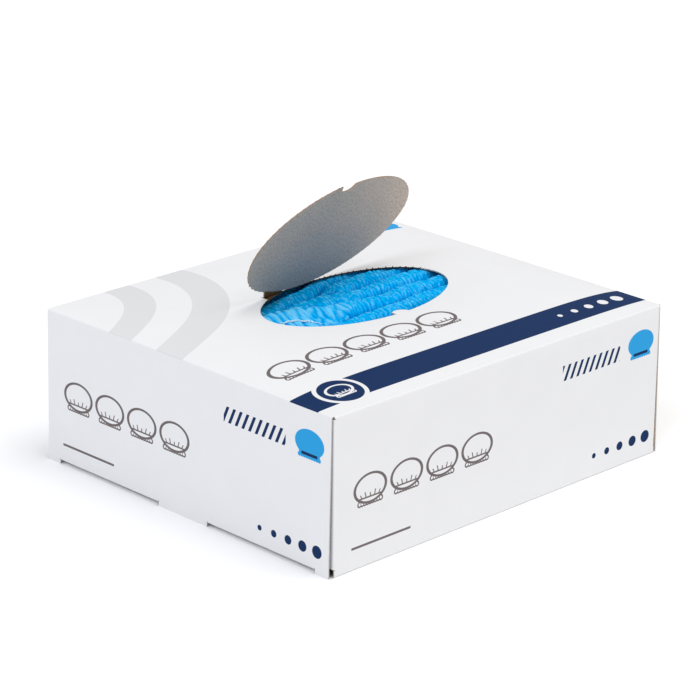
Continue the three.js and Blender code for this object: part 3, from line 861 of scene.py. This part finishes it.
BACK_ROW = {"nearest": 54.6, "pitch": 15.8, "half": 7.6}
ROW_TOP, ROW_FOOT, ROW_END = 89.8, 77.2, 124
CRIMP_PITCH, PLEAT_PITCH, PLEATED_FROM, PLEATED_OVER, GIRTH = 2.6, 5.6, -7, 9, 44
SECTION_POWER, SPREAD_POWER, GROOVE_WIDTH = 0.85, 0.55, 0.3
SEEN_AROUND, SEEN_CRIMP, SEEN_FROM, SEEN_TO = 64, 0.72, -70, 84
HIDDEN_AROUND, HIDDEN_CRIMP, HIDDEN_GROOVE = 24, 0.45, 0.6
SPREAD_CAP, SPREAD_DROP, SPREAD_FROM, SPREAD_OVER = "cap_08", 8.5, -6, 20


def spunbond(name, light, middle, dark):
    """Thin point-bonded nonwoven: matt, a little see-through, with painted highlights on the crests of its
    crimps and painted shade in its creases, set by each piece's level.
    """
    material, tree, shader = new_material(
        name, Roughness=0.72, Specular_IOR_Level=0.0, Subsurface_Weight=0.25,
        Subsurface_Radius=(0.4, 0.8, 1.0), Subsurface_Scale=1.5 * MM)
    place, _ = sheet_place(tree, "cloth")
    crimp_painted_light = tree.nodes.new("ShaderNodeAttribute")
    crimp_painted_light.attribute_name = "crimp_painted_light"
    cloud = sheet_noise(220, 4, place)
    # The piece's level paints light: high levels blend in the pale highlight colour, low ones the dark shade
    # colour.
    level = calc("MULTIPLY_ADD", cloud, 0.35, crimp_painted_light.outputs["Fac"])
    specks = sheet_noise(750, 3, place)
    low = ramp(specks, 1.2, calc("MULTIPLY_ADD", level, 1.7, -0.8))
    high = ramp(specks, 1.8, calc("MULTIPLY_ADD", level, 2.3, -2.85))
    colour = blend_colour(high, blend_colour(low, dark, middle), light)
    bonds = feed_all(tree.nodes.new("ShaderNodeTexVoronoi"), Scale=1300, Randomness=0.35, Vector=place)
    dimple = calc("LESS_THAN", bonds.outputs["Distance"], 0.27)
    colour = blend_colour(calc("MULTIPLY", dimple, 0.16), colour, dark)
    feed_all(shader, Base_Color=colour)
    fibre = sheet_noise(2400, 3, place)
    bump(shader, calc("MULTIPLY_ADD", dimple, -0.6, fibre), 0.08 * MM)
    return material


# The first colour is the painted highlight, the last the painted shade.
cap_cloth = spunbond("blue_spunbond", (0.155, 0.62, 0.96, 1), (0.0, 0.42, 0.86, 1), (0.0, 0.17, 0.58, 1))


def eased(t):
    return t * t * (3 - 2 * t)


def smooth_noise(rng, run, around, cell_run, cell_around):
    """A smooth random field over two rows of places: a random value for each cell, blended in between."""
    i, j = (run - run[0]) / cell_run, (around - around[0]) / cell_around
    field = rng.uniform(-1, 1, (int(i[-1]) + 2, int(j[-1]) + 2))
    i0, j0 = np.floor(i).astype(int), np.floor(j).astype(int)
    fi, fj = eased(i - i0)[:, None], eased(j - j0)[None, :]
    a, b = field[np.ix_(i0, j0)], field[np.ix_(i0 + 1, j0)]
    c, d = field[np.ix_(i0, j0 + 1)], field[np.ix_(i0 + 1, j0 + 1)]
    return (a * (1 - fi) + b * fi) * (1 - fj) + (c * (1 - fi) + d * fi) * fj


def crimps(rng, run, around, folds, calm=0.0):
    """Crimp height, -1 to 1: round crests with sharp creases between, that fork and fade where not calm."""
    sway = 0.8 * smooth_noise(rng, run, around, 9, 12) + 0.45 * smooth_noise(rng, run, around, 4, 6)
    sway += 0.2 * smooth_noise(rng, run, around, 1.8, 3)
    crest = 2 * np.abs(np.sin(math.pi * (folds + sway * (1 - 0.75 * calm)))) ** 0.7 - 1
    crease = 2 * np.minimum(np.abs(smooth_noise(rng, run, around, 1.5, 4.5)) * 2.2, 1) - 1
    fade = 0.5 + 0.5 * smooth_noise(rng, run, around, 6, 7)
    fine = smooth_noise(rng, run, around, 0.8, 2.0)
    lively = 0.7 * crest * (0.4 + 0.6 * fade) + 0.45 * crease * (1 - 0.6 * fade) + 0.15 * fine
    return lively * (1 - calm) + (0.78 * crest + 0.22 * crease + 0.2 * fine) * calm


def eased_sections(sections, x):
    """Row values at x, eased between the listed sections."""
    stops = np.array(sections, float)
    i = np.clip(np.searchsorted(stops[:, 0], x) - 1, 0, len(stops) - 2)
    t = eased(np.clip((x - stops[i, 0]) / (stops[i + 1, 0] - stops[i, 0]), 0, 1))
    return [stops[i, k] + (stops[i + 1, k] - stops[i, k]) * t for k in (1, 2, 3)]


def cloth_piece(name, points, faces, level, flat, material):
    """A smooth closed skin of cloth in the carton, with its level of painted light and shade and its flat
    map.
    """
    piece = shown_mesh(name, points, faces)
    mesh = piece.data
    mesh.materials.append(material)
    mesh.shade_smooth()
    mesh.attributes.new("crimp_painted_light", "FLOAT", "POINT").data.foreach_set("value", level.astype(np.float32))
    lay_flat(mesh, "cloth", flat)
    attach(piece, "carton")
    return piece


def quad_grid(along, around, closed):
    """The quads between rows of points, and round to the first point of each row where it is closed."""
    i, j = np.meshgrid(np.arange(along - 1), np.arange(around if closed else around - 1), indexing="ij")
    k = (j + 1) % around
    corners = [i * around + j, i * around + k, (i + 1) * around + k, (i + 1) * around + j]
    return np.stack(corners, 2).reshape(-1, 4)


def roll(name, rings, level, material, run, girth):
    """A closed skin through rows of ring points; run and girth place it on its flat sheet; millimetres."""
    along, around = rings.shape[:2]
    rings, uv = rings * MM, np.stack(np.meshgrid(run, girth, indexing="ij"), 2) * MM
    ends = np.stack([rings[0].mean(axis=0), rings[-1].mean(axis=0)])
    points = np.concatenate([rings.reshape(-1, 3), ends])
    first, last, turn = len(points) - 2, (along - 1) * around, np.arange(around)
    caps = [(first, (t + 1) % around, t) for t in turn]
    caps += [(first + 1, last + t, last + (t + 1) % around) for t in turn]
    levels = np.concatenate([level.ravel(), [0.3, 0.3]])
    flat = np.concatenate([uv.reshape(-1, 2), uv[0, :1], uv[-1, :1]])
    faces = quad_grid(along, around, True).tolist() + caps
    return cloth_piece(name, points, faces, levels, flat, material)


def under_the_board(x, y, z):
    """Heights held down to the top panel's underside, and free in the mouth; all in millimetres."""
    underside = (top_height(x * MM, y * MM) - BOARD) / MM - 0.15
    in_mouth = (x * MM / OVAL_LONG) ** 2 + (y * MM / OVAL_DEEP) ** 2 < 1
    return np.where(in_mouth, z, np.minimum(z, underside))


def folded_cap(name, sections, groove, xs, around, depth, seed):
    """One pressed strip: a rounded bar with a groove on top, its skin crimped square to its middle line."""
    rng = np.random.default_rng(seed)
    x0, x1 = sections[0][0], sections[-1][0]
    xs = np.array([x0 + 0.5] + [x for x in xs if x0 + 0.9 < x < x1 - 0.9] + [x1 - 0.5])
    y, half, top = (column[:, None] for column in eased_sections(sections, xs))
    lean = np.gradient(y[:, 0], xs)[:, None]
    reach = np.clip(np.minimum(xs - x0, x1 - xs) / 9, 0, 1)[:, None]
    half, top = half * (0.75 + 0.25 * reach ** 0.5), top - 3 * (1 - reach) ** 2
    spread, pleated = np.zeros_like(half), np.zeros_like(half)
    if name.startswith(SPREAD_CAP):
        spread = eased(np.clip((SPREAD_FROM - xs) / SPREAD_OVER, 0, 1))[:, None]
        pleated = np.clip((PLEATED_FROM - xs) / PLEATED_OVER, 0, 1)[:, None]
    turn = np.linspace(0, 2 * math.pi, around, endpoint=False)
    c, s = np.cos(turn)[None, :], np.sin(turn)[None, :]
    power = SECTION_POWER + (SPREAD_POWER - SECTION_POWER) * spread
    across, above = np.sign(c) * np.abs(c) ** power, np.sign(s) * np.abs(s) ** power
    py = y + half * across
    pz = (top + ROW_FOOT) / 2 + (top - ROW_FOOT) / 2 * above
    pz = pz - groove * np.exp(-(across / GROOVE_WIDTH) ** 2) * (s > 0)
    pz = pz - SPREAD_DROP * spread * np.clip((0.7 - across) / 1.7, 0, 1) * np.clip(above, 0, 1)
    pitch = CRIMP_PITCH + (PLEAT_PITCH - CRIMP_PITCH) * pleated[:, 0]
    folds = np.interp(xs[:, None] + lean * half * across, xs, np.cumsum(np.diff(xs, prepend=xs[0]) / pitch))
    girth = turn * GIRTH / (2 * math.pi)
    field = crimps(rng, xs, girth, folds, 0.8 * pleated)
    lumps = smooth_noise(rng, xs, girth, 13, 9)
    out = depth * (1 + 0.5 * spread) * (field - 0.8) + 0.6 * lumps * (1 - 0.6 * pleated) - 0.2
    size = np.hypot(across, above)
    py, pz = py + out * across / size, pz + out * above / size
    px = xs[:, None] + 0.3 * smooth_noise(rng, xs, girth, 3, 5)
    pz = under_the_board(px, py, pz)
    # The level paints light and shade: highlights on the crimp crests, lighter on the pleated spread, and
    # painted shade under the spread's hem and down the lower sides and underside.
    level = 0.5 + 0.5 * field + 0.2 * pleated - 0.3 * spread * np.clip(-0.25 - across, 0, 1)
    level = level - 0.6 * (1 - spread) * np.clip(0.8 - above, 0, 0.8)
    return roll(name, np.stack([px, py, pz], 2), level, cap_cloth, xs, np.abs(girth - GIRTH / 2))


seen_xs = np.concatenate([np.arange(*part) for part in (
    (-ROW_END, SEEN_FROM, 1.3), (SEEN_FROM, SEEN_TO, 0.4), (SEEN_TO, ROW_END, 1.3))])
hidden_xs = np.arange(-ROW_END, ROW_END, 1.4)
for number in range(1, 16):
    name = f"cap_{number:02d}"
    if name in LOOSE:
        groove, sections = LOOSE[name]
        skin = (seen_xs, SEEN_AROUND, SEEN_CRIMP)
    else:
        row, count = (FRONT_ROW, number - 6) if number <= 6 else (BACK_ROW, number - 12)
        middle = row["nearest"] + row["pitch"] * count
        groove, sections = HIDDEN_GROOVE, [(x, middle, row["half"], ROW_TOP) for x in (-ROW_END, ROW_END)]
        skin = (hidden_xs, HIDDEN_AROUND, HIDDEN_CRIMP)
    cap = folded_cap(f"{name}_cloth", sections, groove, *skin, number)
    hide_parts(name)

# ------------------------ Loose hem
# The hem of the spread-out cap lies on top of it: a thin pale edge of the same cloth,
# folded over its elastic and tightly ruffled by it.
HEM_PATH = [(-50.9, 9.5), (-46.9, 9.1), (-44.2, 9.0), (-41.8, 8.5), (-39, 8.0), (-36.5, 7.2), (-34.7, 5.6),
            (-33.2, 4.0), (-31.1, 2.1), (-28.7, 0.6), (-27.0, -1.2)]
HEM_RADIUS, HEM_RUFFLE, HEM_STEP = 0.38, 1.5, 0.2
hem_cloth = spunbond("pale_hem_cloth", (0.80, 0.92, 1.0, 1), (0.55, 0.82, 0.98, 1), (0.25, 0.62, 0.92, 1))
rng = np.random.default_rng(77)
stops = np.array(HEM_PATH)
run = np.concatenate([[0], np.cumsum(np.linalg.norm(np.diff(stops, axis=0), axis=1))])
places = np.arange(0, run[-1], HEM_STEP)
flat = np.stack([np.interp(places, run, stops[:, k]) for k in range(2)], 1)
under = BVHTree.FromObject(bpy.data.objects[f"{SPREAD_CAP}_cloth"], bpy.context.evaluated_depsgraph_get())
above_all = HEIGHT + 30 * MM
hits = [under.ray_cast(Vector((x * MM, y * MM, above_all)), Vector((0, 0, -1)))[0] for x, y in flat]
heights = np.array([hit.z / MM for hit in hits])
near = np.array([np.mean(heights[max(i - 12, 0):i + 13]) for i in range(len(heights))])
path = np.concatenate([flat, np.maximum(near, heights - 0.2)[:, None] + 0.3], 1)
ahead = np.gradient(path, axis=0)
ahead /= np.linalg.norm(ahead, axis=1)[:, None]
aside = np.cross(ahead, (0, 0, 1))
above = np.cross(aside, ahead)
turn = np.linspace(0, 2 * math.pi, 14, endpoint=False)
sway = 0.6 * smooth_noise(rng, places, turn, 4, 9)
ruffle = np.abs(np.sin(math.pi * (places[:, None] / HEM_RUFFLE + sway)))
thin = np.clip(np.minimum(places, places[-1] - places) / 6, 0.35, 1)[:, None]
size = HEM_RADIUS * thin * (0.9 + 0.5 * ruffle ** 0.7 + 0.35 * smooth_noise(rng, places, turn, 0.9, 1.2))
rings = path[:, None, :] + size[..., None] * (1.5 * np.cos(turn)[None, :, None] * aside[:, None, :]
                                              + np.sin(turn)[None, :, None] * above[:, None, :])
# The ruffle sets the level: painted highlights on the ruffles and painted shade between them.
roll("cap_08_hem", rings, ruffle + 0 * size, hem_cloth, places, turn)

# ------------------------ Lower layers of caps
# Six more layers of the same strips lie pressed flat under the top one.
LAYER_PITCH = 14.3
for layer in range(2, 8):
    node = f"caps_layer_{layer}"
    low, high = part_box(node)
    rng = np.random.default_rng(40 + layer)
    along, across = 110, 120
    xs, ys = np.linspace(low.x, high.x, along), np.linspace(low.y, high.y, across)
    rows = np.abs(np.sin(math.pi * (ys - ys[0]) / (LAYER_PITCH * MM)))
    field = crimps(rng, xs / MM, ys / MM, xs[:, None] / MM / CRIMP_PITCH)
    top = high.z - 1.6 * MM * (1 - rows[None, :]) - 0.3 * MM * (1 - field)
    bottom = low.z + 0.25 * MM * (1 + smooth_noise(rng, xs / MM, ys / MM, 8, 14))
    grid = np.stack(np.meshgrid(xs, ys, indexing="ij"), 2)
    upper = np.concatenate([grid, top[..., None]], 2).reshape(-1, 3)
    under = np.concatenate([grid, bottom[..., None]], 2).reshape(-1, 3)
    count = along * across
    quads = quad_grid(along, across, False)
    faces = quads[:, [0, 3, 2, 1]].tolist() + (quads + count).tolist()
    numbers = np.arange(count).reshape(along, across)
    rim = [*numbers[:, 0], *numbers[-1, 1:], *numbers[-2::-1, -1], *numbers[0, -2:0:-1]]
    faces += [(a, a + count, b + count, b) for a, b in zip(rim, rim[1:] + rim[:1])]
    # Painted highlights on the crimp crests and painted shade in the creases; an even middle level
    # underneath.
    level = np.concatenate([(0.5 + 0.5 * field).ravel(), np.full(count, 0.4)])
    points = np.concatenate([upper, under])
    piece = cloth_piece(f"{node}_cloth", points, faces, level, points[:, :2], cap_cloth)
    piece.data.set_sharp_from_angle(angle=math.radians(60))
    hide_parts(node)
